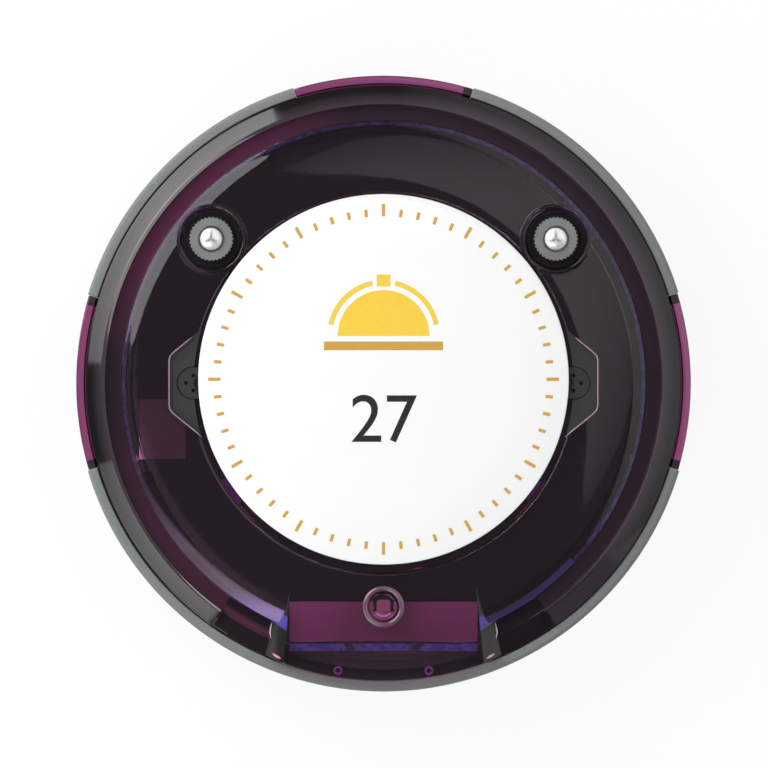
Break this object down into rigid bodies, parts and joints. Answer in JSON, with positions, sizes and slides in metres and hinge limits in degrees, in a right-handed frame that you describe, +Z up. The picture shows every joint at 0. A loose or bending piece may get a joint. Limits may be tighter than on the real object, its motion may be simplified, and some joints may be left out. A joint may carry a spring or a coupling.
{
  "type": "guest pager",
  "caption": "Round coaster-style guest pager: clear magenta shell over a black frame, grey rubber bumpers, sprung charging contacts, push key and white centre label.",
  "frame": {"origin": "on the resting surface, under the middle of the round case", "axes": "+Z up through the label, +X to the right and -Y to the front, where the number strip is"},
  "size_m": [0.0996, 0.0998, 0.02],
  "materials": {
    "clear_shell": "clear dark magenta, polished",
    "light_window": "clear magenta, satin",
    "bumper_rubber": "grey soft plastic, fine satin",
    "black_frame": "black, matt",
    "label_white": "white printed vinyl",
    "number_strip": "pale, bare",
    "light_guide": "violet light pipe",
    "chrome": "polished",
    "knurled_steel": "grey, knurled edge",
    "steel": "bright",
    "brass": "plated",
    "black_rubber": "black, matt",
    "circuit_board": "green solder mask",
    "chip": "black moulded package",
    "copper": "enamelled copper wire",
    "battery_foil": "foil pouch",
    "socket_plastic": "pale nylon",
    "lead_red": "red wire sleeve",
    "lead_black": "black wire sleeve",
    "led": "clear lens over phosphor",
    "membrane": "white vent membrane"
  },
  "bodies": {
    "pager": {"top_cover": "clear_shell", "bottom_case": "clear_shell", "case_seal": "black_rubber", "label_disc": "label_white", "bumper_top_left": "bumper_rubber", "bumper_top_right": "bumper_rubber", "bumper_bottom": "bumper_rubber", "light_window_top": "light_window", "light_window_left": "light_window", "light_window_right": "light_window", "foot_ring": "black_rubber", "case_screw_1": "steel", "case_screw_2": "steel", "case_screw_3": "steel", "case_screw_4": "steel", "contact_bush_left": "knurled_steel", "contact_bush_right": "knurled_steel", "contact_spring_left": "steel", "contact_spring_right": "steel", "contact_seal_left": "black_rubber", "contact_seal_right": "black_rubber", "contact_seat_left": "brass", "contact_seat_right": "brass", "base_contact_left": "brass", "base_contact_right": "brass", "key_switch": "chip", "inner_frame": "black_frame", "number_plate": "number_strip", "light_guide": "light_guide", "circuit_board": "circuit_board", "main_chip": "chip", "radio_chip": "chip", "crystal": "steel", "antenna": "copper", "led_top": "led", "led_left": "led", "led_right": "led", "led_number": "led", "battery": "battery_foil", "battery_socket": "socket_plastic", "battery_lead_red": "lead_red", "battery_lead_black": "lead_black", "vibration_motor": "steel", "motor_boot": "black_rubber", "motor_lead_red": "lead_red", "motor_lead_black": "lead_black", "buzzer": "chip", "vent_membrane_left": "membrane", "vent_membrane_right": "membrane"},
    "left_contact": {"contact_pin_left": "chrome"},
    "right_contact": {"contact_pin_right": "chrome"},
    "key": {"power_key": "clear_shell", "switch_plunger": "socket_plastic"},
    "motor_rotor": {"motor_shaft": "steel", "motor_weight": "brass"}
  },
  "joints": [
    {"name": "left_contact_press", "type": "slide", "parent": "pager", "child": "left_contact", "axis": [0, 0, -1], "range_m": [0, 0.0009], "stiffness_N_per_m": 600, "springref_m": -0.0006, "deforming": ["contact_spring_left"]},
    {"name": "right_contact_press", "type": "slide", "parent": "pager", "child": "right_contact", "axis": [0, 0, -1], "range_m": [0, 0.0009], "stiffness_N_per_m": 600, "springref_m": -0.0006, "deforming": ["contact_spring_right"]},
    {"name": "key_press", "type": "slide", "parent": "pager", "child": "key", "axis": [0, 0, -1], "range_m": [0, 0.0004], "stiffness_N_per_m": 1500, "springref_m": -0.0004},
    {"name": "motor_spin", "type": "hinge", "parent": "pager", "child": "motor_rotor", "pos_m": [-0.03555, -0.0095, 0.0124], "axis": [0, -1, 0], "continuous": true}
  ]
}
